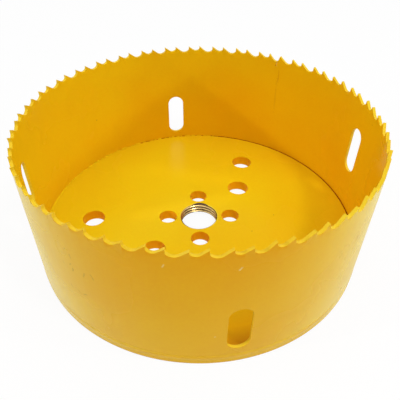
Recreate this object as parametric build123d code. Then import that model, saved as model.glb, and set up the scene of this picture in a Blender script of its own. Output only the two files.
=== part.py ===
"""Hole saw with a rolled, butt-welded toothed ring on a thick drilled back plate.

The saw stands on its back plate with the teeth up, as it is stored. Lengths are in
millimetres and angles in degrees. The origin is the centre of the back plate's
underside and +Z runs along the arbor's axis towards the teeth. Each angle is measured
from +X, counter-clockwise as seen from the teeth, which is the way the saw turns.
"""

import os
from math import asin, atan2, cos, degrees, hypot, radians, sin, tan

from build123d import *

# Ring: one strip of band-saw steel, rolled up and butt-welded
ring_diameter = 127.0
wall_thickness = 1.1
overall_height = 51.5

# Teeth: long and short pitches alternate, with deep and shallow gullets. The rake faces
# are upright, and each meets the round root of its gullet at the root corner
long_pitch = 6.05
short_pitch = 4.9
deep_gullet = 2.45
shallow_gullet = 1.85
deep_root_radius = 2.5
shallow_root_radius = 1.95
root_corner = 35.0

# Set: the tips stand straight, lean out and lean in by turns, from a bend line that lies
# a little above the shallow roots
set_amount = 0.25
set_pattern = (0, 1, -1)
bend_rise = 0.15

# Weld of the strip's two ends: an odd tooth stands over it, with a short open slit
seam_angle = 45.55
seam_pitch = 5.3
seam_lean = 20.0
slit_width = 0.16
slit_depth = 1.9
slit_pit_diameter = 0.5

# Slots to lever the cut plug out, low and high by turns
slot_count = 4
slot_width = 7.4
slot_length = 19.4
low_slot_height = 17.3
high_slot_height = 29.5

# Back plate: a turned disc with a low boss that centres the ring on its shoulder
plate_thickness = 4.45
shoulder_depth = 0.95
boss_clearance = 0.2

# Holes of the back plate. The arbor's hole is as wide as its thread is at the roots
thread_major_diameter = 15.875
pin_hole_diameter = 7.5
pin_circle_diameter = 25.8
pin_hole_count = 4
pin_hole_phase = -9.0
inner_hole_diameter = 9.2
inner_circle_diameter = 51.2
inner_hole_count = 2
inner_hole_phase = 36.5
outer_hole_diameter = 9.2
outer_circle_diameter = 87.1
outer_hole_count = 3
outer_hole_phase = 51.25

# Weld bead laid over the joint between the ring and the back plate
bead_width = 3.2
bead_crown = 0.3

# Room that a cut of the model reaches past the faces it opens, the stock that stands
# above the tips until the gullets are cut, and the space left between two tooth blocks
overcut = 1.0
tip_stock = 0.1
stock_gap = 0.3

# Sizes that follow
outer_radius = ring_diameter / 2
inner_radius = outer_radius - wall_thickness
middle_radius = outer_radius - wall_thickness / 2
foot_height = plate_thickness - shoulder_depth
boss_radius = inner_radius - boss_clearance
bend_height = overall_height - shallow_gullet + bend_rise


def arc_angle(length):
    """The angle that a length along the outside of the ring takes up."""
    return degrees(length / outer_radius)


def tooth_angles():
    """Each tooth's tip angle, from the tooth over the seam round to the last one."""
    pair = arc_angle(long_pitch + short_pitch)
    gap = arc_angle(seam_pitch)
    pairs = round((360 - gap) / pair)
    stretch = (360 - gap) / (pairs * pair)
    short = arc_angle(short_pitch) * stretch
    first = seam_angle - arc_angle(shallow_gullet * sin(radians(seam_lean)))
    tips = [first]
    for number in range(pairs):
        start = first + gap + number * pair * stretch
        tips += [start, start + short]
    return tips


def gullets():
    """(start angle, end angle, depth, root radius, lean of the rake face) of each gullet."""
    tips = tooth_angles()
    found = [(tips[0], tips[1], deep_gullet, shallow_root_radius, seam_lean)]
    for number in range(1, len(tips)):
        start = tips[number]
        end = tips[(number + 1) % len(tips)]
        if end < start:
            end += 360
        if number % 2:
            found.append((start, end, shallow_gullet, shallow_root_radius, 0))
        else:
            found.append((start, end, deep_gullet, deep_root_radius, 0))
    return found


def gullet_outline(pitch, depth, root_radius, lean):
    """A gullet's opening, flat: x runs from tip to tip and y up from the tips.

    It goes down the rake face of the tooth behind, round the root and up the sloping
    back of the tooth in front. Both flanks run on past their tips, so that two
    neighbours cut each tooth to a sharp edge.
    """
    tilt = radians(lean)
    corner = radians(root_corner)
    centre_y = root_radius - depth
    centre_x = root_radius * cos(corner) / cos(tilt) - centre_y * tan(tilt)
    foot = (
        centre_x - root_radius * cos(corner + tilt),
        centre_y - root_radius * sin(corner + tilt),
    )
    reach = hypot(pitch - centre_x, centre_y)
    slope = atan2(centre_y, centre_x - pitch) + asin(root_radius / reach)
    run = (reach**2 - root_radius**2) ** 0.5
    heel = (pitch + run * cos(slope), run * sin(slope))
    start = (-overcut * tan(tilt), overcut)
    end = (pitch + overcut / tan(slope), overcut)
    lines = [
        Line(start, foot),
        ThreePointArc(foot, (centre_x, -depth), heel),
        Line(heel, end),
        Line(end, start),
    ]
    return make_face(lines), centre_x


def wall_plane(angle, height):
    """A plane on the ring's middle, x forwards round the ring, y up, facing outwards."""
    turn = radians(angle)
    origin = (middle_radius * cos(turn), middle_radius * sin(turn), height)
    return Plane(origin=origin, x_dir=(-sin(turn), cos(turn), 0), z_dir=(cos(turn), sin(turn), 0))


def through_wall(face, angle, height):
    """The face of a cut, set on the wall at that place and pushed right through it."""
    return extrude(wall_plane(angle, height) * face, wall_thickness / 2 + overcut, both=True)


def gullet_cutter(start, end, depth, root_radius, lean):
    """The solid that one gullet takes out of the ring."""
    pitch = 2 * outer_radius * sin(radians(end - start) / 2)
    face, _ = gullet_outline(pitch, depth, root_radius, lean)
    centred = Pos(-pitch / 2, 0, 0) * face
    return through_wall(centred, (start + end) / 2, overall_height)


def root_angle(start, end, depth, root_radius, lean):
    """The angle of a gullet's lowest line."""
    pitch = radians(end - start) * outer_radius
    _, centre_x = gullet_outline(pitch, depth, root_radius, lean)
    return start + arc_angle(centre_x)


def tooth_block(start, end, lean):
    """The stock for one tooth, from the bend line up, leaning out or in by its set."""
    top = overall_height + tip_stock
    shift = lean * (top - bend_height) / (overall_height - bend_height)
    section = Polyline(
        (inner_radius, 0, bend_height),
        (outer_radius, 0, bend_height),
        (outer_radius + shift, 0, top),
        (inner_radius + shift, 0, top),
        close=True,
    )
    return Rot(0, 0, start) * revolve(make_face(section), Axis.Z, end - start)


def tooth_stock():
    """All tooth blocks. Each ends just short of the lowest line of its two gullets."""
    roots = [root_angle(*space) for space in gullets()]
    margin = arc_angle(stock_gap / 2)
    blocks = []
    for number, end in enumerate(roots):
        start = roots[number - 1] - (360 if number == 0 else 0)
        lean = set_amount * set_pattern[number % len(set_pattern)]
        blocks.append(tooth_block(start + margin, end - margin, lean))
    return blocks


def slot_cutters():
    """The plug slots, spread evenly round the wall, high and low by turns."""
    face = Rot(0, 0, 90) * SlotOverall(slot_length, slot_width)
    heights = (high_slot_height, low_slot_height)
    return [
        through_wall(face, 360 / slot_count * number, heights[number % 2])
        for number in range(slot_count)
    ]


def slit_cutter():
    """The open end of the strip's weld: a leaning slit and the pit that it ends in."""
    length = (deep_gullet + slit_depth) / cos(radians(seam_lean))
    slit = Pos(slit_width / 2, -length / 2, 0) * Rectangle(slit_width, length)
    pit = Pos(slit_width / 2, -length, 0) * Circle(slit_pit_diameter / 2)
    turned = Rot(0, 0, seam_lean) * (slit + pit)
    return through_wall(turned, tooth_angles()[0], overall_height)


def ring_body():
    """The plain rolled wall up to the bend line."""
    section = Polyline(
        (inner_radius, 0, foot_height),
        (outer_radius, 0, foot_height),
        (outer_radius, 0, bend_height),
        (inner_radius, 0, bend_height),
        close=True,
    )
    return revolve(make_face(section), Axis.Z)


def saw_ring():
    """The toothed ring: one piece of steel."""
    ring = ring_body().fuse(*tooth_stock())
    cutters = [gullet_cutter(*space) for space in gullets()]
    return ring.cut(*cutters, *slot_cutters(), slit_cutter())


def drilled(diameter, circle_diameter, count, phase):
    """A circle of holes through the back plate."""
    length = plate_thickness + 2 * overcut
    drill = Pos(circle_diameter / 2, 0, plate_thickness / 2) * Cylinder(diameter / 2, length)
    return [Rot(0, 0, phase + 360 / count * number) * drill for number in range(count)]


def plate_blank():
    """The turned disc with its shoulder and boss."""
    section = Polyline(
        (0, 0, 0),
        (outer_radius, 0, 0),
        (outer_radius, 0, foot_height),
        (boss_radius, 0, foot_height),
        (boss_radius, 0, plate_thickness),
        (0, 0, plate_thickness),
        close=True,
    )
    return revolve(make_face(section), Axis.Z)


def back_plate():
    """The back plate with its arbor hole, drive-pin holes and plug holes."""
    bore = drilled(thread_major_diameter, 0, 1, 0)
    pins = drilled(pin_hole_diameter, pin_circle_diameter, pin_hole_count, pin_hole_phase)
    inner = drilled(inner_hole_diameter, inner_circle_diameter, inner_hole_count, inner_hole_phase)
    outer = drilled(outer_hole_diameter, outer_circle_diameter, outer_hole_count, outer_hole_phase)
    return plate_blank().cut(*bore, *pins, *inner, *outer)


def weld_bead():
    """The weld bead, crowned over the joint between the ring and the back plate."""
    section = Polyline(
        (outer_radius, 0, foot_height - bead_width / 2),
        (outer_radius + bead_crown, 0, foot_height),
        (outer_radius, 0, foot_height + bead_width / 2),
        close=True,
    )
    return revolve(make_face(section), Axis.Z)


os.makedirs("parts", exist_ok=True)
export_step(saw_ring(), "parts/saw_ring.step")
export_step(back_plate(), "parts/back_plate.step")
export_step(weld_bead(), "parts/weld_bead.step")
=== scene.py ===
"""Hole saw: a rolled and welded toothed ring on a drilled back plate, in yellow enamel.

The saw stands on its back plate with the teeth up. Lengths are in metres, the origin is
the centre of the plate's underside, and +Z runs along the arbor's axis to the teeth.
"""

from math import asin, atan2, cos, hypot, pi, radians, sin, tan

import bmesh
import bpy
from mathutils import Color, Matrix, Vector


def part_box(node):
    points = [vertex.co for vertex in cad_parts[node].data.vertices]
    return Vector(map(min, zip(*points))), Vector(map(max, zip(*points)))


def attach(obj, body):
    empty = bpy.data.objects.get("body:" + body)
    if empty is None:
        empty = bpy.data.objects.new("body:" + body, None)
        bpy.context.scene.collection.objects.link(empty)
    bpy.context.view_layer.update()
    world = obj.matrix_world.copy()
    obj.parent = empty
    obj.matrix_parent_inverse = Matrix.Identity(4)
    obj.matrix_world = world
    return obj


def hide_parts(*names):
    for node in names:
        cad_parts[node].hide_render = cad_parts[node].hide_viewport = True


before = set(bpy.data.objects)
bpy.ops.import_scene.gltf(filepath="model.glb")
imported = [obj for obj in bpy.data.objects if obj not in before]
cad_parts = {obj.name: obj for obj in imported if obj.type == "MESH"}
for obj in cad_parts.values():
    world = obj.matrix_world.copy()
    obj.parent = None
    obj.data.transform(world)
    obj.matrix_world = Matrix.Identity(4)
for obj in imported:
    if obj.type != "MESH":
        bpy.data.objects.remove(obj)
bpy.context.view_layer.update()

bl_info = {
    "name": "Hole saw",
    "version": (1, 0, 0),
    "blender": (4, 5, 0),
    "location": "3D View > Sidebar > Hole saw",
    "description": "Builds an enamelled hole saw with its thread, welds and finish",
    "category": "Add Mesh",
}

MM = 0.001
PLATE_LOW, PLATE_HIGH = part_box("back_plate")
BEAD_LOW, BEAD_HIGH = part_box("weld_bead")

# Points that lie closer together than this are one point, and shorter lengths are none
JOIN = 0.002 * MM
TINY = 1e-9


# Settings


def kind_of(prop, convert=float, **fixed):
    """A kind of setting, which is then given its name, description and default."""

    def setting(label, text, value):
        return prop(name=label, description=text, default=convert(value), **fixed)

    return setting


def from_mm(millimetres):
    """A length in metres."""
    return millimetres * MM


# Lengths are given in millimetres, turns in degrees, and colours are linear
plain_number = kind_of(bpy.props.FloatProperty, unit="NONE")
length = kind_of(bpy.props.FloatProperty, from_mm, unit="LENGTH", precision=6)
turn = kind_of(bpy.props.FloatProperty, radians, subtype="ANGLE", unit="ROTATION")
share = kind_of(bpy.props.FloatProperty, min=0, max=1, subtype="FACTOR")
power = kind_of(bpy.props.FloatProperty, unit="POWER")
count = kind_of(bpy.props.IntProperty, int, min=1, subtype="UNSIGNED")
colour = kind_of(bpy.props.FloatVectorProperty, tuple, size=3, min=0, max=1, subtype="COLOR")
spot = kind_of(bpy.props.FloatVectorProperty, tuple, size=3, subtype="TRANSLATION", unit="LENGTH")


class RingSizes(bpy.types.PropertyGroup):
    """The toothed ring's strip of steel."""

    diameter: length("Diameter", "Outside of the rolled wall", (PLATE_HIGH[0] - PLATE_LOW[0]) / MM)
    wall: length("Wall", "Thickness of the strip", 1.1)
    top: length("Tooth tips", "Height of the tips above the bench", 51.5)
    foot: length("Foot", "Height of the plate's shoulder that carries the ring", 3.5)
    long_pitch: length("Long pitch", "From tip to tip over a deep gullet", 6.05)
    short_pitch: length("Short pitch", "From tip to tip over a shallow gullet", 4.9)
    seam_pitch: length("Seam pitch", "From the tooth over the weld to the next", 5.3)
    deep: length("Deep gullet", "Depth of the deep gullets", 2.45)
    shallow: length("Shallow gullet", "Depth of the shallow gullets", 1.85)
    deep_root: length("Deep root", "Radius of a deep gullet's root", 2.5)
    shallow_root: length("Shallow root", "Radius of a shallow gullet's root", 1.95)
    root_corner: turn("Root corner", "Where the rake face would meet the root, unblended", 35)
    foot_blend: length("Rake foot", "Radius between a rake face and its root", 0.8)
    set_amount: length("Set", "How far a set tip stands out or in", 0.25)
    bend: length("Bend line", "Height from which the teeth are set", 49.8)
    edge: length("Edge break", "Rounding of the enamelled edges", 0.13)
    seam_angle: turn("Weld", "Where the strip's ends are welded", 45.55)
    seam_lean: turn("Seam lean", "Lean of the seam tooth's face and of the slit", 20)
    seam_ridge: length("Weld ridge", "Height of the dressed weld under the enamel", 0.03)
    ridge_side: length("Ridge side", "From the middle of the dressed weld to its side", 0.6)
    slit_width: length("Slit width", "Open end of the strip's weld", 0.16)
    slit_depth: length("Slit depth", "How far the slit runs below its gullet", 1.9)
    pit: length("Pit", "Small hole that the slit ends in", 0.5)


class SlotSizes(bpy.types.PropertyGroup):
    """The plug slots of the ring."""

    number: count("Slots", "Slots round the wall", 4)
    width: length("Width", "Across a slot", 7.4)
    height: length("Length", "From end to end of a slot", 19.4)
    low: length("Low middle", "Height of the low slots' middle", 17.3)
    high: length("High middle", "Height of the high slots' middle", 29.5)
    edge: length("Edge break", "Rounding of a slot's edges", 0.1)


class PlateSizes(bpy.types.PropertyGroup):
    """The back plate and its holes."""

    thickness: length("Thickness", "From the bench to the top", (PLATE_HIGH[2] - PLATE_LOW[2]) / MM)
    gap: length("Gap", "From the boss to the ring's inside", 0.19)
    off_centre: length("Off centre", "How far the boss stands towards the tight side", 0.16)
    open_side: turn("Open side", "Angle at which the gap is widest", 15)
    boss_edge: length("Boss edge", "Rounding of the boss's upper edge", 0.25)
    corner: length("Lower edge", "Rounding of the plate's lower rim", 0.4)
    edge: length("Edge break", "Rounding of the hole edges", 0.12)
    film: length("Film", "Enamel on the wall of each plain hole", 0.15)
    bore: length("Bore", "Major diameter of the arbor thread", 15.875)
    bore_edge: length("Bore edge", "Rounding of the bore's edges", 0.02)
    pin: length("Pin holes", "Diameter of the drive-pin holes", 7.5)
    pins: count("Pins", "Number of drive-pin holes", 4)
    pin_circle: length("Pin circle", "Circle of the drive-pin holes", 25.8)
    pin_phase: turn("Pin phase", "Angle of the first drive-pin hole", -9)
    plug: length("Plug holes", "Diameter of the plug holes", 9.2)
    inner_holes: count("Inner holes", "Number of inner plug holes", 2)
    inner_circle: length("Inner circle", "Circle of the inner plug holes", 51.2)
    inner_phase: turn("Inner phase", "Angle of the first inner plug hole", 36.5)
    outer_holes: count("Outer holes", "Number of outer plug holes", 3)
    outer_circle: length("Outer circle", "Circle of the outer plug holes", 87.1)
    outer_phase: turn("Outer phase", "Angle of the first outer plug hole", 51.25)


class ThreadSizes(bpy.types.PropertyGroup):
    """The arbor thread."""

    pitch: length("Pitch", "From ridge to ridge", 25.4 / 18)
    depth: length("Depth", "From the roots to the crests", 0.65)
    seat: length("Seat", "How far the lining reaches into the bore's wall", 0.02)
    flush: length("Flush", "How far the lining stays below the plate's faces", 0.01)
    chamfer: length("Chamfer", "Break of the crests at both faces", 0.25)
    run_out: turn("Run-out", "Where the groove leaves the plate's top", 225)


class WeldSizes(bpy.types.PropertyGroup):
    """The weld bead and the enamel that closes the gap round the plate."""

    width: length("Width", "Height of the bead's band", (BEAD_HIGH[2] - BEAD_LOW[2]) / MM)
    toe: length("Toe", "Part of that height lost at each toe of the bead", 0.3)
    drop: length("Drop", "How far the bead's middle lies below the ring's foot", 0.2)
    crown: length("Crown", "How far the bead stands out", 0.11)
    ripple: length("Ripple", "Height of the weld's ripples", 0.012)
    ripples: count("Ripples", "Ripples round the bead", 330)
    fillet: length("Enamel fillet", "Size of the enamel in the plate's corner", 0.42)
    sink: length("Enamel depth", "How far its middle lies below the plate's top", 0.1)
    drops: plain_number("Drops", "How close the drops of enamel stand", 45)


class Finish(bpy.types.PropertyGroup):
    """Colours of the saw."""

    # Painted light and shade: outside, inside and plate are one enamel; the outside gets a darker,
    # oranger copy where less light falls, the plate a yellower one where more falls
    outside: colour("Outside enamel", "The yellow of the ring's outside", (0.775, 0.375, 0.003))
    inside: colour("Inside enamel", "The yellow of the ring's inside", (0.85, 0.575, 0.006))
    # Painted shade: the warmer yellow that stands for shade low in the cup, on the plate's right
    # and low in its corner
    deep: colour("Deep enamel", "The warmer yellow low in the cup", (0.885, 0.53, 0.004))
    plate: colour("Plate enamel", "The gloss yellow of the plate", (0.825, 0.62, 0.007))
    # Painted shade: the orange in the plate's holes and on its top behind the front of the ring
    bores: colour("Hole enamel", "The orange of the plate's hole walls", (0.92, 0.48, 0.0))
    # Painted highlight: the lemon on cut edges and gullet floors, along the bead's upper toe and in
    # a spot at the slit's pit
    thin: colour("Edge enamel", "The lemon of the film on cut edges", (0.835, 0.6, 0.03))
    # Painted sheen: the pale yellow the outside turns to at a slant, standing in for the surround's
    # reflection
    glancing: colour("Glancing enamel", "The outside enamel seen at a slant", (0.81, 0.63, 0.008))
    # Painted shade: the narrow gap between boss and ring coloured dark red-brown over its bare
    # steel; the same colour draws the weld's brown smudge below the slit's pit
    gap: colour("Bare gap", "Grimy steel that the enamel didn't reach", (0.5, 0.05, 0.002))
    glint: colour("Glint", "Tint of the gloss seen face on", (0.5, 0.3, 0.02))
    # Real scuffs and dust nibs, and also painted contact shade along the plate's lower rim
    grime: colour("Scuffs", "Rubbed and dusty marks", (0.26, 0.14, 0.015))
    # The weld's brown line, also used as the painted shadow on the plate's top at the front of the
    # cup
    weld: colour("Weld line", "The browned line of the strip's weld", (0.5, 0.2, 0.004))
    chalk: colour("Chips", "Small pale chips and dust", (0.85, 0.75, 0.35))
    gloss: share("Roughness", "Roughness of the enamel", 0.25)
    # Painted light and shade on the thread: bright steel on upward faces, oil-brown on the rest as
    # well as in real oil patches
    steel: colour("Cut steel", "Bright flanks of the thread", (0.6, 0.42, 0.17))
    oil: colour("Oiled steel", "Brown oil in the thread's roots", (0.06, 0.026, 0.006))


class StageSettings(bpy.types.PropertyGroup):
    """The floor, the lamps and the camera."""

    floor: length("Floor", "Width of the pale floor", 4000)
    key: power("Key lamp", "Power of the lamp at the front right", 1.3)
    ceiling: power("Ceiling", "Power of the broad soft lamp overhead", 4.0)
    left: power("Left lamp", "Power of the low lamp at the left", 3.1)
    right: power("Right lamp", "Power of the low lamp at the right", 2.95)
    sky: share("Surround", "Strength of the white surround as light", 0.4)
    shadow: share("Shadow", "How much of the floor's shadow shows", 0.08)
    lens: length("Lens", "Focal length on a 36 mm sensor", 39.32)
    stand: spot("Camera", "Where the camera stands, in metres", (-0.02555, -0.13145, 0.12808))
    heading: turn("Heading", "The camera's turn from +Y towards +X", 11.126)
    pitch: turn("Pitch", "How far the camera looks down", 40.63)
    roll: turn("Roll", "The camera's roll", 0.441)


# Meshes


def new_object(name, mesh):
    """An object for a mesh, linked to the scene, at the origin."""
    piece = bpy.data.objects.new(name, mesh)
    bpy.context.scene.collection.objects.link(piece)
    return piece


def mesh_object(name, points, faces):
    """An object with a mesh of those points and faces."""
    mesh = bpy.data.meshes.new(name)
    mesh.from_pydata(points, [], faces)
    return new_object(name, mesh)


def discard(piece):
    """Removes an object that only helped to make another."""
    mesh = piece.data
    bpy.data.objects.remove(piece)
    bpy.data.meshes.remove(mesh)


def plain(piece, name, helpers=()):
    """What the piece's modifiers and helpers make of it, as a plain object in its place."""
    graph = bpy.context.evaluated_depsgraph_get()
    mesh = bpy.data.meshes.new_from_object(piece.evaluated_get(graph), depsgraph=graph)
    for used in (piece, *helpers):
        discard(used)
    mesh.name = name
    return new_object(name, mesh)


def face_outwards(piece):
    """Closes seams, drops slivers and turns all faces of a closed shell outwards."""
    shell = bmesh.new()
    shell.from_mesh(piece.data)
    bmesh.ops.remove_doubles(shell, verts=shell.verts, dist=JOIN)
    bmesh.ops.dissolve_degenerate(shell, edges=shell.edges, dist=JOIN)
    bmesh.ops.recalc_face_normals(shell, faces=shell.faces)
    shell.to_mesh(piece.data)
    shell.free()


def solid(name, points, faces):
    """An object with a closed mesh of those points and faces."""
    piece = mesh_object(name, points, faces)
    face_outwards(piece)
    return piece


def soften(piece, name, keep_over=50):
    """Smooth shading that leaves the large faces flat and the hard edges hard."""
    piece.data.shade_smooth()
    piece.data.set_sharp_from_angle(angle=radians(keep_over))
    shading = piece.modifiers.new("Shading", "WEIGHTED_NORMAL")
    shading.keep_sharp = True
    return plain(piece, name)


def finished(piece, name, material):
    """A cut piece, closed and shaded, with one material on its cut faces too."""
    face_outwards(piece)
    piece.data.materials.clear()
    piece.data.materials.append(material)
    piece.data.polygons.foreach_set("material_index", [0] * len(piece.data.polygons))
    return soften(piece, name)


def round_edges(piece, width, over=40):
    """A small round on every edge that turns more than some degrees."""
    bevel = piece.modifiers.new("Edge break", "BEVEL")
    bevel.width = width
    bevel.segments = 2
    bevel.limit_method = "ANGLE"
    bevel.angle_limit = radians(over)


def cut_away(piece, cutter):
    """Takes the cutter's solid out of the piece."""
    cut = piece.modifiers.new("Cut", "BOOLEAN")
    cut.operation = "DIFFERENCE"
    cut.solver = "EXACT"
    cut.object = cutter


# Nodes


class Term:
    """A node's output to reckon with: each sign adds a Math node to its tree."""

    def __init__(self, socket):
        self.socket, self.tree = socket, socket.id_data

    def __add__(self, other):
        return reckon("ADD", self, other)

    def __sub__(self, other):
        return reckon("SUBTRACT", self, other)

    def __mul__(self, other):
        return reckon("MULTIPLY", self, other)

    def __truediv__(self, other):
        return reckon("DIVIDE", self, other)

    def __gt__(self, other):
        return reckon("GREATER_THAN", self, other)

    def __lt__(self, other):
        return reckon("LESS_THAN", self, other)


def add(kind, inputs=None, tree=None, **settings):
    """A node with its settings and its inputs, which are values or terms. It goes into
    the terms' tree, if no other is given."""
    inputs = inputs or {}
    tree = tree or next(value.tree for value in inputs.values() if isinstance(value, Term))
    node = tree.nodes.new(kind)
    for key, value in settings.items():
        setattr(node, key, value)
    for key, value in inputs.items():
        if isinstance(value, Term):
            tree.links.new(value.socket, node.inputs[key])
        else:
            node.inputs[key].default_value = value
    return node


def out(kind, inputs=None, output=0, tree=None, **settings):
    """One output of a new node."""
    return Term(add(kind, inputs, tree, **settings).outputs[output])


def outputs(kind, inputs=None, tree=None, **settings):
    """All outputs of a new node, by name."""
    return {socket.name: Term(socket) for socket in add(kind, inputs, tree, **settings).outputs}


def reckon(operation, *terms):
    """The result of a Math node on one or two terms."""
    return out("ShaderNodeMath", dict(enumerate(terms)), operation=operation)


def ramp(value, low, high, to_low=0.0, to_high=1.0, smooth=False):
    """A value mapped from one range to another and held at its ends."""
    ends = {"Value": value, "From Min": low, "From Max": high, "To Min": to_low, "To Max": to_high}
    kind = "SMOOTHSTEP" if smooth else "LINEAR"
    return out("ShaderNodeMapRange", ends, "Result", interpolation_type=kind)


def axes(vector):
    """The x, y and z of a vector."""
    return list(outputs("ShaderNodeSeparateXYZ", {0: vector}).values())


def noise(place, scale, detail=2.0):
    """A soft noise about 0.5 over the place."""
    return out("ShaderNodeTexNoise", {"Vector": place, "Scale": scale, "Detail": detail})


FLOAT, OBJECT, GEOMETRY = "NodeSocketFloat", "NodeSocketObject", "NodeSocketGeometry"
VECTOR, COLOUR, MATERIAL = "NodeSocketVector", "NodeSocketColor", "NodeSocketMaterial"
SOCKET_OF = {float: FLOAT, int: "NodeSocketInt", tuple: COLOUR}


def new_group(name, kind, takes, gives):
    """A node group and its inputs, each given by its default or its kind of socket."""
    group = bpy.data.node_groups.new(name, kind)
    for label, value in takes.items():
        socket = SOCKET_OF.get(type(value), value)
        made = group.interface.new_socket(label, in_out="INPUT", socket_type=socket)
        if socket != value:
            made.default_value = value
    for label, socket in gives.items():
        group.interface.new_socket(label, in_out="OUTPUT", socket_type=socket)
    return group, outputs("NodeGroupInput", tree=group)


def new_tree(name, takes):
    """A Geometry Nodes tree with those inputs, between its geometry and its material."""
    takes = {"Geometry": GEOMETRY, **takes, "Material": MATERIAL}
    return new_group(name, "GeometryNodeTree", takes, {"Geometry": GEOMETRY})


def new_effect(name, takes, gives):
    """A shader group over the Object coordinates that it takes as its Vector."""
    return new_group(name, "ShaderNodeTree", {"Vector": VECTOR, **takes}, gives)[1]


def finish_group(results):
    """Ends a group in its named outputs."""
    add("NodeGroupOutput", results)


def finish_tree(geometry, material):
    """Ends a tree: instances made real, then the material."""
    real = out("GeometryNodeRealizeInstances", {"Geometry": geometry})
    dressed = out("GeometryNodeSetMaterial", {"Geometry": real, "Material": material})
    finish_group({"Geometry": dressed})


def grow(piece, group, values):
    """Puts a Geometry Nodes group on a piece, with its inputs set by their identifiers."""
    modifier = piece.modifiers.new(group.name, "NODES")
    modifier.node_group = group
    for socket in group.interface.items_tree:
        if socket.in_out == "INPUT" and socket.name in values:
            modifier[socket.identifier] = values[socket.name]


def grown(name, tree, material, values):
    """A closed piece that a tree makes out of nothing, as a plain object."""
    piece = mesh_object(name, [], [])
    grow(piece, tree, {"Material": material, **values})
    piece = plain(piece, name)
    face_outwards(piece)
    return piece


def instances(points, tool, chosen=True):
    """The tool's object on each of the chosen points."""
    shape = out("GeometryNodeObjectInfo", {"Object": tool}, "Geometry")
    on_points = {"Points": points, "Instance": shape, "Selection": chosen}
    return out("GeometryNodeInstanceOnPoints", on_points)


def polar(geometry, radius, angle, z):
    """The geometry with its points moved to a radius, an angle and a height."""
    x, y = radius * reckon("COSINE", angle), radius * reckon("SINE", angle)
    point = out("ShaderNodeCombineXYZ", {"X": x, "Y": y, "Z": z})
    return out("GeometryNodeSetPosition", {"Geometry": geometry, "Position": point})


def merged(geometry):
    """The geometry with its coincident points joined."""
    return out("GeometryNodeMergeByDistance", {"Geometry": geometry, "Distance": JOIN})


def unit_grid(across, along):
    """A grid, with the share of the way round and the share of the way along it."""
    size = {"Size X": 1.0, "Size Y": 1.0, "Vertices X": across, "Vertices Y": along}
    x, y, _ = axes(out("GeometryNodeInputPosition", tree=across.tree))
    return out("GeometryNodeMeshGrid", size), x + 0.5, y + 0.5


# Toothed ring

# Steps of a gullet's two arcs: the blend at the foot of its rake face, and its root
BLEND_STEPS, ROOT_STEPS = 3, 7

# Rows of faces down the wall: how far below the tips in millimetres, and how much of its
# full height the dressed weld has there. The ring's foot is the last row
WALL_ROWS = ((3.0, 0.0), (5.5, 1.0), (16.0, 0.7), (30.0, 0.3))

# How far the cutters reach past the faces that they open: those of holes and slots, the
# slit's on both sides of the wall, and the slit's above the tips
CUT_OVER = 0.5 * MM
SLIT_OVER = 0.6 * MM
SLIT_RISE = 0.8 * MM

# Steps of a half-round slot end, and of the slit's pit
SLOT_STEPS, PIT_STEPS = 14, 12

MODULES = ("Shallow Gullet", "Deep Gullet", "Seam Gullet")


def pitches(sizes):
    """(tip positions along the strip, which of MODULES follows each, true pitches)."""
    around = pi * sizes.diameter
    pair = sizes.long_pitch + sizes.short_pitch
    pairs = round((around - sizes.seam_pitch) / pair)
    stretch = (around - sizes.seam_pitch) / (pairs * pair)
    short, long = sizes.short_pitch * stretch, sizes.long_pitch * stretch
    tips, kinds = [0.0], [2]
    for number in range(pairs):
        start = sizes.seam_pitch + number * pair * stretch
        tips += [start, start + short]
        kinds += [0, 1]
    return tips, kinds, (short, long, sizes.seam_pitch)


def arc(centre, radius, start, end, steps):
    """Points on an arc, both ends left out."""
    turns = [start + (end - start) * n / steps for n in range(1, steps)]
    return [(centre[0] + radius * cos(a), centre[1] + radius * sin(a)) for a in turns]


def gullet_line(pitch, depth, root, corner, lean, blend):
    """A gullet from tip to tip as (along, up from the tips), and where its root is lowest.

    It goes down the rake face, round a small blend and the root, and up the sloping
    back of the next tooth.
    """
    up = root - depth
    along = root * cos(corner) / cos(lean) - up * tan(lean)
    centre = Vector((along, up))
    down, inwards = Vector((sin(lean), -cos(lean))), Vector((cos(lean), sin(lean)))
    offset = centre - blend * inwards
    level = down.dot(offset)
    run = level + ((root - blend) ** 2 - offset.length_squared + level**2) ** 0.5
    middle = run * down + blend * inwards
    away = (middle - centre).normalized()
    leave = centre + root * away
    reach = hypot(pitch - along, up)
    slope = atan2(up, along - pitch) + asin(root / reach)
    back = (reach**2 - root**2) ** 0.5
    heel = Vector((pitch + back * cos(slope), back * sin(slope)))
    turns = [atan2(-inwards.y, -inwards.x), atan2(away.y, away.x)]
    ends = [atan2(leave.y - up, leave.x - along), atan2(heel.y - up, heel.x - along)]
    turns[0] -= 2 * pi if turns[0] > 0 else 0
    points = [(0.0, 0.0), tuple(run * down)]
    points += arc(middle, blend, *turns, BLEND_STEPS) + [tuple(leave)]
    points += arc(centre, root, *ends, ROOT_STEPS) + [tuple(heel), (pitch, 0.0)]
    return points, along


def module_faces(line, levels, side_levels, pitch):
    """Faces of a module's outer side, each a list of (along, up) points."""
    faces = []
    for start, end in zip(line, line[1:]):
        if end[0] - start[0] < TINY:
            continue
        left = [(start[0], up) for up in side_levels if start[0] < TINY and up < start[1] - TINY]
        right = [(end[0], up) for up in side_levels if end[0] > pitch - TINY]
        top = levels[0]
        faces.append([start, *left, (start[0], top), (end[0], top), *reversed(right), end])
        for upper, lower in zip(levels, levels[1:]):
            faces.append([(start[0], upper), (start[0], lower), (end[0], lower), (end[0], upper)])
    return faces


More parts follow.
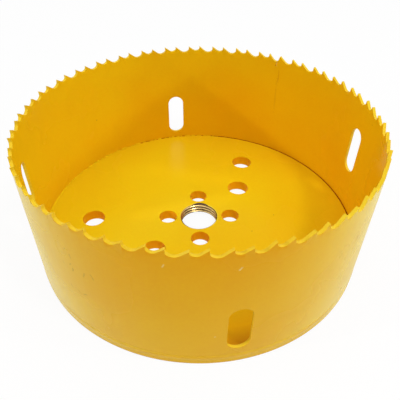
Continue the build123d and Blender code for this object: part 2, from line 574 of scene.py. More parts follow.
def gullet_module(name, sizes, line, root_at, side_levels, levels, ridge):
    """A closed length of the strip with one gullet, open only at its two ends."""
    pitch = line[-1][0]
    if line[1][0] < TINY:
        above = [(0.0, up) for up in side_levels if 0 > up > line[1][1] + TINY]
        line = [line[0], *above, *line[1:]]
    faces = module_faces(line, levels, side_levels, pitch)
    points, index = [], {}

    def point(place, back):
        key = (round(place[0], 9), round(place[1], 9), back)
        if key not in index:
            index[key] = len(points)
            swell = ridge(*place)
            depth = -sizes.wall - swell if back else swell
            points.append((place[0], depth, sizes.top + place[1]))
        return index[key]

    shell = [[point(p, 0) for p in face] for face in faces]
    shell += [[point(p, 1) for p in reversed(face)] for face in faces]
    foot_line = sorted({p[0] for p in line})
    for edge in (line, [(x, levels[-1]) for x in reversed(foot_line)]):
        for start, end in zip(edge, edge[1:]):
            shell.append([point(start, 0), point(end, 0), point(end, 1), point(start, 1)])
    module = mesh_object(name, points, shell)
    side = module.data.attributes.new("side", "INT", "POINT")
    side.data.foreach_set("value", [int(p[0] > root_at) for p in points])
    return module


def gullet_modules(sizes, lengths):
    """The shallow, the deep and the seam module, in the order of MODULES."""
    short, long, seam = lengths
    corner, lean, blend = sizes.root_corner, sizes.seam_lean, sizes.foot_blend
    shallow = gullet_line(short, sizes.shallow, sizes.shallow_root, corner, 0, blend)
    deep = gullet_line(long, sizes.deep, sizes.deep_root, corner, 0, blend)
    points, root_at = gullet_line(seam, sizes.deep, sizes.shallow_root, corner, lean, blend)
    welded = [points[0], *sorted(points[1:], key=lambda p: p[0])], root_at
    side_levels = [shallow[0][1][1], deep[0][1][1]]
    heights = {-below * MM: height for below, height in WALL_ROWS}
    levels = [*heights, sizes.foot - sizes.top]
    weld_at = sizes.shallow * sin(lean)

    def flat_wall(along, up):
        return 0.0

    def weld_ridge(along, up):
        near = max(0.0, 1 - abs(along - weld_at) / sizes.ridge_side)
        return sizes.seam_ridge * heights.get(up, 0.0) * near

    rows = ((shallow, flat_wall), (deep, flat_wall), (welded, weld_ridge))
    return [
        gullet_module(name, sizes, *gullet, side_levels, levels, ridge)
        for name, (gullet, ridge) in zip(MODULES, rows)
    ]


def rolled_strip_tree():
    """Gullet modules set side by side along the strip, set tooth by tooth and rolled up."""
    sockets = {"Radius": 0.06, "First Tip": 0.0, "Teeth": 73, "Set": 0.00025}
    sockets |= {"Bend Line": 0.05, "Tips": 0.0515}
    tree, take = new_tree("Rolled toothed strip", dict.fromkeys(MODULES, OBJECT) | sockets)
    kind, tooth, side = (
        out("GeometryNodeInputNamedAttribute", {"Name": name}, tree=tree, data_type="INT")
        for name in ("kind", "tooth", "side")
    )
    join = tree.nodes.new("GeometryNodeJoinGeometry")
    for number, label in enumerate(MODULES):
        same = out("FunctionNodeCompare", {2: kind, 3: number}, data_type="INT", operation="EQUAL")
        row = instances(take["Geometry"], take[label], same)
        tree.links.new(row.socket, join.inputs[0])
    strip = out("GeometryNodeRealizeInstances", {"Geometry": Term(join.outputs[0])})
    along, depth, height = axes(out("GeometryNodeInputPosition", tree=tree))
    # The set goes straight, out and in by turns: 0, 1 and -1 at steps 0, 1 and 2
    step = reckon("MODULO", reckon("MODULO", tooth + side, take["Teeth"]), 3.0)
    lean = step * (step * -1.5 + 2.5)
    lean = lean * (ramp(height, take["Bend Line"], take["Tips"]) * take["Set"])
    angle = along / take["Radius"] + take["First Tip"]
    ring = polar(strip, take["Radius"] + depth + lean, angle, height)
    finish_tree(merged(ring), take["Material"])
    return tree


def rolled(sizes, along, depth, height):
    """A point of the flat strip on the rolled ring, the weld at along 0."""
    radius = sizes.diameter / 2
    angle = sizes.seam_angle + along / radius
    return ((radius + depth) * cos(angle), (radius + depth) * sin(angle), height)


def stadium(width, height):
    """A slot's outline round its middle, with half-round ends."""
    radius, straight = width / 2, (height - width) / 2
    turns = [pi * n / SLOT_STEPS for n in range(SLOT_STEPS + 1)]
    upper = [(radius * cos(a), straight + radius * sin(a)) for a in turns]
    return upper + [(-x, -y) for x, y in upper]


def edge_steps(depth, edge):
    """(depth, flare) rows of a cutter through a wall, with a round at both faces."""
    quarter = edge * (1 - cos(pi / 4))
    flare = quarter + (CUT_OVER + quarter) * (edge - quarter) / quarter
    outer = [(CUT_OVER, flare), (-quarter, quarter), (-edge, 0.0)]
    return outer + [(-depth - row, flare) for row, flare in reversed(outer)]


def prism(outline, rows, where):
    """A closed cutter: the outline, grown by each row's flare, at each row's depth."""
    total = len(outline)
    points = [where(x, y, depth, flare) for depth, flare in rows for x, y in outline]
    faces = []
    for row in range(len(rows) - 1):
        for n in range(total):
            a, b = row * total + n, row * total + (n + 1) % total
            faces.append([a, b, b + total, a + total])
    faces.append(list(range(total)))
    faces.append([len(points) - 1 - n for n in range(total)])
    return points, faces


def slot_cutter(sizes, slots):
    """The plug slots' cutters, rolled to the wall, high and low by turns."""
    points, faces = [], []
    rows = edge_steps(sizes.wall, slots.edge)
    straight = (slots.height - slots.width) / 2
    for number in range(slots.number):
        middle = slots.low if number % 2 else slots.high
        offset = (2 * pi * number / slots.number - sizes.seam_angle) * sizes.diameter / 2

        def where(x, y, depth, flare, middle=middle, offset=offset):
            core = max(-straight, min(straight, y))
            wider = 1 + flare / (slots.width / 2)
            return rolled(sizes, offset + x * wider, depth, middle + core + (y - core) * wider)

        made, skin = prism(stadium(slots.width, slots.height), rows, where)
        faces += [[n + len(points) for n in face] for face in skin]
        points += made
    return solid("slot cutter", points, faces)


def slit_cutter(sizes):
    """The leaning slit at the weld and the pit that it ends in."""
    lean = sizes.seam_lean
    tip = -sizes.shallow * sin(lean)
    long = (sizes.deep + sizes.slit_depth) / cos(lean)
    rows = [(SLIT_OVER, 0.0), (-sizes.wall - SLIT_OVER, 0.0)]

    def where(x, y, depth, flare):
        along, up = x * cos(lean) - y * sin(lean), x * sin(lean) + y * cos(lean)
        return rolled(sizes, tip + along, depth, sizes.top + up)

    wide, pit = sizes.slit_width, sizes.pit / 2
    opening = asin(wide / 2 / pit)
    mouth = -long + pit * cos(opening)
    outline = [(wide, mouth), (wide, SLIT_RISE), (0.0, SLIT_RISE), (0.0, mouth)]
    first, last = pi / 2 + opening, 2.5 * pi - opening
    outline += arc((wide / 2, -long), pit, first, last, PIT_STEPS)
    return solid("slit cutter", *prism(outline, rows, where))


def make_ring(sizes, slots, material):
    """The toothed ring, with its slots and the slit at the weld."""
    tips, kinds, lengths = pitches(sizes)
    row = mesh_object("tooth row", [(x, 0, 0) for x in tips], [])
    for label, values in (("kind", kinds), ("tooth", range(len(tips)))):
        made = row.data.attributes.new(label, "INT", "POINT")
        made.data.foreach_set("value", list(values))
    modules = gullet_modules(sizes, lengths)
    first = sizes.seam_angle - sizes.shallow * sin(sizes.seam_lean) / (sizes.diameter / 2)
    grow(row, rolled_strip_tree(), {
        **dict(zip(MODULES, modules)),
        "Radius": sizes.diameter / 2,
        "First Tip": first,
        "Teeth": len(tips),
        "Set": sizes.set_amount,
        "Bend Line": sizes.bend,
        "Tips": sizes.top,
        "Material": material,
    })
    ring = plain(row, "ring", modules)
    face_outwards(ring)
    round_edges(ring, sizes.edge)
    ring = plain(ring, "ring")
    cutters = [slot_cutter(sizes, slots), slit_cutter(sizes)]
    for cutter in cutters:
        cut_away(ring, cutter)
    return finished(plain(ring, "ring", cutters), "toothed_ring", material)


# Back plate

# Angles of the points that round the plate's lower rim and its boss's upper edge
RIM_TURNS = (0, 0.4, 0.8, 1.2, pi / 2)
BOSS_TURNS = (0, 0.5, 1.05, pi / 2)

# Steps round the plate, the bore, a pin hole and a plug hole
PLATE_STEPS, BORE_STEPS, PIN_STEPS, PLUG_STEPS = 360, 144, 56, 64


def lathe(name, profile, steps):
    """A solid turned from (radius, height) points that start and end on the axis."""
    points, rings, faces = [], [], []
    for radius, height in profile:
        if radius == 0:
            rings.append([len(points)] * steps)
            points.append((0.0, 0.0, height))
            continue
        rings.append(list(range(len(points), len(points) + steps)))
        turns = [2 * pi * n / steps for n in range(steps)]
        points += [(radius * cos(a), radius * sin(a), height) for a in turns]
    for lower, upper in zip(rings, rings[1:]):
        for n in range(steps):
            after = (n + 1) % steps
            corners = [lower[n], lower[after], upper[after], upper[n]]
            faces.append(list(dict.fromkeys(corners)))
    return solid(name, points, faces)


def plate_profile(ring, plate):
    """Half section of the plate, from the axis on the underside to the axis on top."""
    rim, boss = ring.diameter / 2, ring.diameter / 2 - ring.wall - plate.gap
    low, edge, top = plate.corner, plate.boss_edge, plate.thickness
    points = [(0, 0), (rim / 2, 0)]
    points += [(rim - low + low * sin(a), low - low * cos(a)) for a in RIM_TURNS]
    points += [(rim, ring.foot), (boss, ring.foot)]
    points += [(boss - edge + edge * cos(a), top - edge + edge * sin(a)) for a in BOSS_TURNS]
    return points + [(rim / 2, top), (0, top)]


def drill(name, diameter, plate, edge, steps):
    """A cutter for one hole, on the axis, with a round at both faces."""
    rows = edge_steps(plate.thickness, edge)
    profile = [(diameter / 2 + flare, plate.thickness + depth) for depth, flare in rows]
    return lathe(name, [(0, profile[0][1]), *profile, (0, profile[-1][1])], steps)


def drilled_circle_tree():
    """Cutters spread evenly round a circle and taken out of the piece."""
    sockets = {"Drill": OBJECT, "Circle": 0.0, "Holes": 1, "Phase": 0.0}
    tree, take = new_tree("Drilled circle", sockets)
    spots = out("GeometryNodePoints", {"Count": take["Holes"]})
    number = out("GeometryNodeInputIndex", tree=tree)
    angle = number / take["Holes"] * (2 * pi) + take["Phase"]
    holes = instances(polar(spots, take["Circle"] * 0.5, angle, 0.0), take["Drill"])
    real = out("GeometryNodeRealizeInstances", {"Geometry": holes})
    shapes = {0: take["Geometry"], 1: real}
    cut = out("GeometryNodeMeshBoolean", shapes, operation="DIFFERENCE", solver="EXACT")
    finish_tree(cut, take["Material"])
    return tree


def make_plate(ring, plate, material):
    """The back plate with all its holes, its boss a little off the axis."""
    blank = lathe("plate blank", plate_profile(ring, plate), PLATE_STEPS)
    shift = Vector((cos(plate.open_side), sin(plate.open_side), 0)) * -plate.off_centre
    for vertex in blank.data.vertices:
        inside_ring = hypot(vertex.co.x, vertex.co.y) < ring.diameter / 2 - ring.wall
        if inside_ring and vertex.co.z > ring.foot - JOIN:
            vertex.co += shift
    tree = drilled_circle_tree()
    pin, plug = plate.pin - 2 * plate.film, plate.plug - 2 * plate.film
    inner = plate.inner_circle, plate.inner_holes, plate.inner_phase
    outer = plate.outer_circle, plate.outer_holes, plate.outer_phase
    drills = []
    for name, diameter, edge, steps, circle, holes, phase in (
        ("bore drill", plate.bore, plate.bore_edge, BORE_STEPS, 0.0, 1, 0.0),
        ("pin drill", pin, plate.edge, PIN_STEPS, plate.pin_circle, plate.pins, plate.pin_phase),
        ("inner drill", plug, plate.edge, PLUG_STEPS, *inner),
        ("outer drill", plug, plate.edge, PLUG_STEPS, *outer),
    ):
        drills.append(drill(name, diameter, plate, edge, steps))
        sizes = {"Drill": drills[-1], "Circle": circle, "Holes": holes, "Phase": phase}
        grow(blank, tree, {"Material": material, **sizes})
    return finished(plain(blank, "plate", drills), "drilled_plate", material)


# Thread, bead and corner enamel

# Flats of the thread's crests and roots, as shares of its pitch
CREST_FLAT, ROOT_FLAT = 1 / 4, 1 / 8

BAND_SOCKETS = {
    "Radius": 0.06,
    "Middle Height": 0.0035,
    "Half Width": 0.0016,
    "Steps Round": 900,
    "Steps Across": 12,
}


def thread_tree():
    """A closed lining with a right-hand thread inside, by formula on a grid.

    The grid's rows go up the thread, then down the lining's back in two steps, and the
    last row closes on the first.
    """
    tree, take = new_tree("Arbor thread", {
        "Major Radius": 0.008,
        "Depth": 0.0008,
        "Pitch": 0.0014,
        "Bottom": 0.0,
        "Top": 0.0045,
        "Seat": 0.00002,
        "Chamfer": 0.0005,
        "Run Out": 0.0,
        "Steps Round": 120,
        "Steps Up": 72,
    })
    steps, major = take["Steps Up"], take["Major Radius"]
    grid, round_share, up_share = unit_grid(take["Steps Round"] + 1.0, steps + 4.0)
    row = reckon("ROUND", up_share * (steps + 3.0))
    up = reckon("MINIMUM", row / steps, 1.0) * (row < steps + 1.5)
    tall = take["Top"] - take["Bottom"]
    climb = up * tall
    turns = (climb - tall) / take["Pitch"] - round_share + take["Run Out"] / (2 * pi)
    wave = reckon("PINGPONG", turns + 0.5, 0.5)
    cut = ramp(wave, CREST_FLAT / 2, 0.5 - ROOT_FLAT / 2)
    minor = major - take["Depth"]
    inner = cut * take["Depth"] + minor
    for distance in (climb, tall - climb):
        mouth = minor + reckon("MAXIMUM", take["Chamfer"] - distance, 0.0)
        inner = reckon("MAXIMUM", inner, reckon("MINIMUM", mouth, major))
    back = (row > steps + 0.5) * (row < steps + 2.5)
    radius = back * (major + take["Seat"] - inner) + inner
    lining = polar(grid, radius, round_share * (2 * pi), climb + take["Bottom"])
    finish_tree(merged(lining), take["Material"])
    return tree


def make_thread(plate, thread, material):
    """The arbor thread's bare steel."""
    lining = grown("thread", thread_tree(), material, {
        "Major Radius": plate.bore / 2,
        "Depth": thread.depth,
        "Pitch": thread.pitch,
        "Bottom": thread.flush,
        "Top": plate.thickness - thread.flush,
        "Seat": thread.seat,
        "Chamfer": thread.chamfer,
        "Run Out": thread.run_out,
        "Steps Round": 144,
        "Steps Up": 72,
    })
    return soften(lining, "arbor_thread")


def band_steps(take):
    """The grid of a band, its angle round the axis and its angle round the oval."""
    steps = take["Steps Round"] + 1.0, take["Steps Across"] + 1.0
    grid, round_share, oval_share = unit_grid(*steps)
    return grid, round_share * (2 * pi), oval_share * (2 * pi)


def oval_band(take, steps, size, crown, flat=False):
    """Ends a tree in an oval tube round the axis: its width follows size, its depth crown.

    A flat one runs out tangentially into the wall.
    """
    grid, angle, around = steps
    bulge = reckon("COSINE", around)
    if flat:
        bulge = bulge * (bulge * bulge)
    half = take["Half Width"] * size
    height = half * reckon("SINE", around) + take["Middle Height"]
    band = polar(grid, crown * bulge + take["Radius"], angle, height)
    finish_tree(merged(band), take["Material"])


def circle_noise(angle, scale):
    """Noise that runs round the axis and closes on itself."""
    x, y = reckon("COSINE", angle), reckon("SINE", angle)
    return noise(out("ShaderNodeCombineXYZ", {"X": x, "Y": y}), scale)


def bead_tree():
    """The weld bead: an oval that ripples and swells on its way round."""
    own = {"Crown": 0.0003, "Ripple": 0.00003, "Ripples": 300}
    tree, take = new_tree("Weld bead", BAND_SOCKETS | own)
    steps = band_steps(take)
    angle = steps[1]
    size = ramp(circle_noise(angle, 9.0), 0.35, 0.65, 0.85, 1.0, smooth=True)
    beat = reckon("SINE", angle * take["Ripples"])
    low = (beat * 0.5 - 0.5) * take["Ripple"]
    oval_band(take, steps, size, take["Crown"] * size + low, flat=True)
    return tree


def fillet_tree():
    """Enamel that has run into the plate's corner: full on the tight side, broken into
    drops further round, and gone on the open side."""
    own = {"Tight Side": 0.0, "Drops": 40.0}
    tree, take = new_tree("Corner enamel", BAND_SOCKETS | own)
    steps = band_steps(take)
    angle = steps[1]
    facing = reckon("COSINE", angle - take["Tight Side"])
    level = ramp(facing, -0.6, 0.4, smooth=True)
    drops = ramp(circle_noise(angle, take["Drops"]), 0.42, 0.58, -0.7, 0.6, smooth=True)
    window = ramp(facing, -0.8, -0.4) * ramp(facing, 0.8, 0.2)
    size = reckon("MAXIMUM", drops * window + level, 0.03)
    oval_band(take, steps, size, take["Half Width"] * size)
    return tree


def make_bead(ring, weld, material):
    """The weld bead's crown, over the joint on the outside."""
    bead = grown("weld_bead_crown", bead_tree(), material, {
        "Radius": ring.diameter / 2,
        "Middle Height": ring.foot - weld.drop,
        "Half Width": weld.width / 2 - weld.toe,
        "Crown": weld.crown,
        "Ripple": weld.ripple,
        "Ripples": weld.ripples,
        "Steps Round": 2000,
        "Steps Across": 16,
    })
    bead.data.shade_smooth()
    return bead


def make_fillet(ring, plate, weld, material):
    """The enamel in the corner between the plate and the ring's inside."""
    fillet = grown("corner_enamel", fillet_tree(), material, {
        "Radius": ring.diameter / 2 - ring.wall,
        "Middle Height": plate.thickness - weld.sink,
        "Half Width": weld.fillet,
        "Tight Side": plate.open_side + pi,
        "Drops": weld.drops,
        "Steps Round": 1800,
        "Steps Across": 12,
    })
    fillet.data.shade_smooth()
    return fillet


# Effects that the materials share
# Each is a group of nodes that puts out masks, heights, or a colour and its roughness


def film_group(name):
    """How an enamel film varies: slow drifts of thickness, and fine clouding."""
    own = {"Film": (0.8, 0.4, 0.0, 1.0), "Drift Scale": 30.0, "Roughness": 0.2}
    take = new_effect(name, own, {"Colour": COLOUR, "Roughness": FLOAT})
    place, film = take["Vector"], take["Film"]
    drift = noise(place, take["Drift Scale"], 3.0)
    cloud = ramp(noise(place, 900.0), 0.3, 0.7, 0.0, 0.25)
    thick = ramp(drift, 0.35, 0.75, 0.0, 0.6) + cloud
    deep = blend(1.0, film, (0.95, 0.8, 0.7, 1.0), how="MULTIPLY")
    rough = ramp(drift, 0.3, 0.7, -0.03, 0.05) + take["Roughness"]
    finish_group({"Colour": blend(thick, film, deep), "Roughness": rough})


def peel_group(name):
    """Orange peel and the slow waves of a sprayed and stoved film, as heights."""
    take = new_effect(name, {"Peel": 1.0, "Waves": 1.0}, {"Height": FLOAT})
    fine = noise(take["Vector"], 700.0, 1.5) * take["Peel"]
    slow = noise(take["Vector"], 120.0) * take["Waves"]
    finish_group({"Height": fine + slow})


def speck_group(name):
    """Dust nibs in the film: small separate dots, few of them and of mixed size."""
    take = new_effect(name, {"Scale": 200.0, "Few": 0.9}, {"Mask": FLOAT})
    inputs = {"Vector": take["Vector"], "Scale": take["Scale"]}
    cells = outputs("ShaderNodeTexVoronoi", inputs)
    pick, spread, _ = outputs("ShaderNodeSeparateColor", {0: cells["Color"]}).values()
    inside = cells["Distance"] < spread * 0.08 + 0.03
    finish_group({"Mask": (pick > take["Few"]) * inside})


def scuff_group(name):
    """One rubbed mark on the wall: a short ragged stroke at an angle and a height."""
    own = {"Angle": 0.0, "Height": 0.02, "Lean": 0.0, "Half Length": 0.003, "Half Width": 0.0004}
    take = new_effect(name, own, {"Mask": FLOAT})
    x, y, z = axes(take["Vector"])
    along = (reckon("ARCTAN2", y, x) - take["Angle"]) * ((PLATE_HIGH[0] - PLATE_LOW[0]) / 2)
    up = z - take["Height"]
    c, s = reckon("COSINE", take["Lean"]), reckon("SINE", take["Lean"])
    lengthwise, sideways = along * c + up * s, up * c - along * s
    long_part = reckon("ABSOLUTE", lengthwise) / take["Half Length"]
    wide_part = reckon("ABSOLUTE", sideways) / take["Half Width"]
    ragged = ramp(noise(take["Vector"], 1300.0, 3.0), 0.3, 0.7, -0.6, 0.6)
    away = reckon("MAXIMUM", long_part, wide_part) + ragged
    finish_group({"Mask": ramp(away, 1.1, 0.5)})


def zone_group(name):
    """What lies between two radii and two heights, with sharp borders."""
    take = new_effect(name, dict.fromkeys(ZONE_BORDERS, 0.0), {"Mask": FLOAT})
    x, y, z = axes(take["Vector"])
    radius = reckon("SQRT", x * x + y * y)
    across = (radius > take["Inner"]) * (radius < take["Outer"])
    upwards = (z > take["Low"]) * (z < take["High"])
    finish_group({"Mask": across * upwards})


def cut_edge_group(name):
    """Where the steel faces neither outwards nor inwards: gullets, rakes and slot edges."""
    take = new_effect(name, {"Normal": VECTOR}, {"Mask": FLOAT})
    flattened = {0: take["Vector"], 1: (1.0, 1.0, 0.0)}
    level = out("ShaderNodeVectorMath", flattened, operation="MULTIPLY")
    outwards = out("ShaderNodeVectorMath", {0: level}, operation="NORMALIZE")
    pair = {0: outwards, 1: take["Normal"]}
    facing = out("ShaderNodeVectorMath", pair, "Value", operation="DOT_PRODUCT")
    finish_group({"Mask": ramp(reckon("ABSOLUTE", facing), 0.9, 0.6)})


ZONE_BORDERS = ("Inner", "Outer", "Low", "High")
EFFECTS = {
    "Enamel film": film_group,
    "Orange peel": peel_group,
    "Dust nibs": speck_group,
    "Scuff": scuff_group,
    "Zone": zone_group,
    "Cut edge": cut_edge_group,
}


def use(name, place, inputs):
    """A shared effect, made at its first use and placed in a material. Its outputs."""
    if name not in bpy.data.node_groups:
        EFFECTS[name](name)
    group = bpy.data.node_groups[name]
    return outputs("ShaderNodeGroup", {"Vector": place, **inputs}, place.tree, node_tree=group)


def zone(place, borders):
    """A mask between two radii and two heights, all in millimetres."""
    borders = {name: border * MM for name, border in zip(ZONE_BORDERS, borders)}
    return use("Zone", place, borders)["Mask"]


def blend(amount, first, second, how="MIX"):
    """A mix of two colours."""
    first, second = ((*c, 1) if isinstance(c, Color) else c for c in (first, second))
    inputs = {0: amount, 6: first, 7: second}
    return out("ShaderNodeMix", inputs, 2, data_type="RGBA", blend_type=how)


# Materials

# Zones of the finish: inner and outer radius, low and high, in millimetres. The ring and the plate
# each have their own part of the gap, whose bare steel is darkened as painted shade. The holes'
# walls are also less glossy
RING_OUTSIDE = (63.0, 66.0, -1.0, 60.0)
PLATE_RIM = (62.9, 66.0, -1.0, 60.0)
RING_GAP = (62.0, 62.9, 3.0, 4.5)
PLATE_GAP = (61.7, 62.9, 3.0, 4.2)
# The holes' walls take the painted shade orange
HOLE_WALLS = (0.0, 60.0, 0.12, 4.33)
BARE_THREAD = (0.0, 9.0, 0.03, 4.41)

# The round patch on the plate's top that the tap left brown: its middle, and its zone
TAP_MIDDLE = Vector((1.03, 3.86, 0.0)) * MM
TAP_PATCH = (0.0, 4.35, 4.0, 5.0)

# Marks on the ring: colour, angle, height, lean, half length, half width and strength, in
# degrees and millimetres
MARKS = (
    ("grime", -136.5, 39.9, 60.0, 0.8, 0.25, 0.3),
    ("grime", -135.2, 37.4, 100.0, 1.0, 0.3, 0.3),
    ("grime", -138.8, 32.2, 120.0, 0.8, 0.25, 0.3),
    ("grime", -136.0, 33.6, 50.0, 0.7, 0.25, 0.35),
    ("grime", -135.4, 31.8, 80.0, 1.1, 0.25, 0.45),
    ("grime", -131.5, 32.0, 70.0, 1.2, 0.25, 0.3),
    ("grime", -128.8, 33.0, 110.0, 1.3, 0.3, 0.3),
    ("grime", -138.1, 22.6, 120.0, 0.9, 0.25, 0.35),
    ("grime", -135.6, 22.2, 150.0, 1.1, 0.25, 0.3),
    ("grime", -133.0, 22.0, 30.0, 0.9, 0.3, 0.35),
    ("grime", -53.4, 35.2, 75.0, 1.6, 0.5, 0.3),
    ("grime", -53.2, 30.5, 100.0, 1.8, 0.4, 0.3),
    ("gap", 44.6, 42.6, 87.0, 2.6, 0.3, 0.3),
    ("weld", 44.9, 33.0, 88.0, 7.0, 0.4, 0.2),
    # The lemon spot at the slit's pit is a painted highlight
    ("thin", 45.6, 46.9, 20.0, 0.5, 0.3, 0.7),
    ("chalk", -109.0, 45.6, 70.0, 0.7, 0.2, 0.5),
    ("chalk", -91.5, 44.4, 60.0, 0.6, 0.2, 0.6),
    ("chalk", -96.6, 15.0, 20.0, 0.3, 0.2, 0.5),
)


def new_material(name):
    """An empty material and its Object coordinates."""
    material = bpy.data.materials.new(name)
    material.use_nodes = True
    material.node_tree.nodes.clear()
    return material, out("ShaderNodeTexCoord", None, "Object", material.node_tree)


def principled(inputs):
    """Ends a material in its one surface."""
    add("ShaderNodeOutputMaterial", {"Surface": out("ShaderNodeBsdfPrincipled", inputs)})


def slant(place):
    """How far the surface is seen at a slant, from 0 face on to 1 edge on."""
    return out("ShaderNodeLayerWeight", {"Blend": 0.5}, "Facing", place.tree)


def outside_colour(place, finish):
    """The yellow of the saw's outside, with a painted sheen: paler where it is seen at a slant, as
    a reflection of the white surround.
    """
    return blend(ramp(slant(place), 0.3, 0.9), finish.outside, finish.glancing)


def ring_colour(place, finish):
    """The ring's yellow, with painted light and shade: a darker, oranger outside, warmer orange low
    in the cup and towards +X, lemon highlights on cut edges, and the gap's bare steel darkened.
    """
    x, _, z = axes(place)
    normal = out("ShaderNodeNewGeometry", None, "Normal", place.tree)
    # Painted shade: the inside turns to the warmer deep yellow low in the cup and towards +X, where
    # less light falls
    painted_lit_share = ramp(x * -0.5 + z, 12 * MM, 46 * MM)
    inside = blend(painted_lit_share, finish.deep, finish.inside)
    # Painted shade: the outside takes the darker, oranger copy of the enamel, with its painted
    # sheen at a slant
    base = blend(zone(place, RING_OUTSIDE), inside, outside_colour(place, finish))
    # Painted highlight: lemon on the cut faces, the gullet floors most of all, where they catch the
    # light
    base = blend(use("Cut edge", place, {"Normal": normal})["Mask"], base, finish.thin)
    # Painted shade: the gap's bare steel darkened to dark red-brown
    return blend(zone(place, RING_GAP), base, finish.gap)


def tap_mark(place, base, finish):
    """The base colour with the brown patch beside the thread."""
    shifted = out("ShaderNodeVectorMath", {0: place, 1: -TAP_MIDDLE}, operation="ADD")
    return blend(zone(shifted, TAP_PATCH), base, finish.oil)


def plate_colour(place, finish):
    """The plate's yellow, with painted shade: orange in the plain holes, dark red-brown over the
    gap's bare steel, warmer to the right, and orange to brown at the front of the cup as a painted
    shadow. It is brown where the thread was started."""
    x, y, z = axes(place)
    rim = outside_colour(place, finish)
    # Painted shade: the plate's lower rim darkened towards the floor as contact shade
    rim = blend(ramp(z, 0.7 * MM, 0.1 * MM, 0.0, 0.5), rim, finish.grime)
    # Painted shade: warmer to the right, where the ring's wall shades the plate
    top = blend(ramp(x, -60 * MM, 60 * MM, 0.0, 0.5), finish.plate, finish.deep)
    # Painted shadow: orange, then brown, on the plate's top at the front of the cup, under the
    # front wall
    top = blend(ramp(y, -44 * MM, -54 * MM, 0.0, 0.5), top, finish.bores)
    top = blend(ramp(y, -54 * MM, -62 * MM), top, finish.weld)
    base = blend(zone(place, PLATE_RIM), top, rim)
    # Painted shade: orange on the hole walls
    base = blend(zone(place, HOLE_WALLS), base, finish.bores)
    base = tap_mark(place, base, finish)
    # Painted shade: the gap's bare steel darkened to dark red-brown
    return blend(zone(place, PLATE_GAP), base, finish.gap)


def bead_colour(place, finish):
    """The yellow of the weld bead, with a painted highlight: lemon in places along its upper toe.
    """
    patches = ramp(noise(place, 22.0, 3.0), 0.35, 0.6, 0.3)
    toe = ramp(axes(place)[2], 3.3 * MM, 4.1 * MM) * patches
    return blend(toe, outside_colour(place, finish), finish.thin)


def corner_colour(place, finish):
    """The yellow of the enamel run into the plate's corner, with painted shade: the warmer deep
    yellow low in the corner.
    """
    return blend(ramp(axes(place)[2], 4.3 * MM, 4.7 * MM), finish.deep, finish.plate)


def enamel(name, finish, tinted, marks=(), drift=30.0):
    """The yellow enamel of one piece, with its film, peel, nibs and marks."""
    material, place = new_material(name)
    film = use("Enamel film", place, {
        "Film": tinted(place, finish),
        "Drift Scale": drift,
        "Roughness": finish.gloss,
    })
    tint, rough = film["Colour"], zone(place, HOLE_WALLS) * 0.4 + film["Roughness"]
    nibs = use("Dust nibs", place, {"Scale": 260.0, "Few": 0.985})["Mask"]
    tint = blend(nibs * 0.55, tint, finish.grime)
    for stain, angle, height, lean, half_length, half_width, strength in marks:
        mark = use("Scuff", place, {
            "Angle": radians(angle),
            "Height": height * MM,
            "Lean": radians(lean),
            "Half Length": half_length * MM,
            "Half Width": half_width * MM,
        })["Mask"] * strength
        tint = blend(mark, tint, getattr(finish, stain))
        rough = mark * 0.3 + rough
    peel = use("Orange peel", place, {"Peel": 0.35, "Waves": 1.0})["Height"]
    bump = out("ShaderNodeBump", {
        "Height": nibs * 0.6 + peel,
        "Distance": 0.02 * MM,
        "Strength": ramp(slant(place), 0.6, 0.95, 0.6, 0.05),
    })
    principled({
        "Base Color": tint,
        "Roughness": rough,
        "Normal": bump,
        "IOR": 1.27,
        "Specular Tint": (*finish.glint, 1),
    })
    return material


def thread_steel(finish):
    """Cut steel, bright on upward faces and brown elsewhere, with enamel over its two ends: brown
    oil in patches, and painted light and shade by which way each face points.
    """
    material, place = new_material("thread steel")
    upwards = axes(out("ShaderNodeNewGeometry", None, "True Normal", place.tree))[2]
    stain = ramp(noise(place, 420.0, 4.0), 0.35, 0.7, -0.2, 0.3)
    # Painted light and shade: steel where faces point up, oil-brown where they don't, with real oil
    # patches from the noise
    oil_and_shade = ramp(upwards, 0.81, 0.73) + stain
    tint = blend(ramp(oil_and_shade, 0.0, 1.0), finish.steel, finish.oil)
    bare = zone(place, BARE_THREAD)
    tint = blend(bare, tap_mark(place, finish.plate, finish), tint)
    tool_marks = {"Vector": place, "Scale": 1500.0, "Distortion": 1.5}
    rings = out("ShaderNodeTexWave", tool_marks, 1, wave_type="BANDS", bands_direction="Z")
    principled({
        "Base Color": tint,
        "Metallic": bare,
        "Roughness": ramp(oil_and_shade, 0.0, 1.0, 0.28, 0.5),
        "Normal": out("ShaderNodeBump", {"Height": rings, "Distance": 0.01 * MM}),
    })
    return material


# Stage

WHITE = (1.0, 1.0, 1.0, 1.0)

# Each lamp's name, where it hangs, and its width in metres
LAMPS = (
    ("ceiling", (0.0, 0.0, 0.8), 1.2),
    ("key", (0.238, -0.308, 0.7), 0.1),
    ("left", (-1.177, -0.126, 0.504), 0.07),
    ("right", (1.087, -0.464, 0.444), 0.12),
)

# Gap between the floor and the saw's underside
FLOOR_GAP = 0.05 * MM


def seen_white(lit, kind, share_lit=0.0):
    """White for the camera and in reflections, and the lit surface for other rays."""
    path = outputs("ShaderNodeLightPath", tree=lit.tree)
    straight = reckon("MAXIMUM", path["Is Camera Ray"], path["Is Glossy Ray"])
    straight = reckon("MAXIMUM", straight, path["Is Transmission Ray"])
    white = out(kind, {"Color": WHITE, "Strength": 1.0}, tree=lit.tree)
    shares = {0: straight * (1 - share_lit), 1: lit, 2: white}
    return {"Surface": out("ShaderNodeMixShader", shares)}


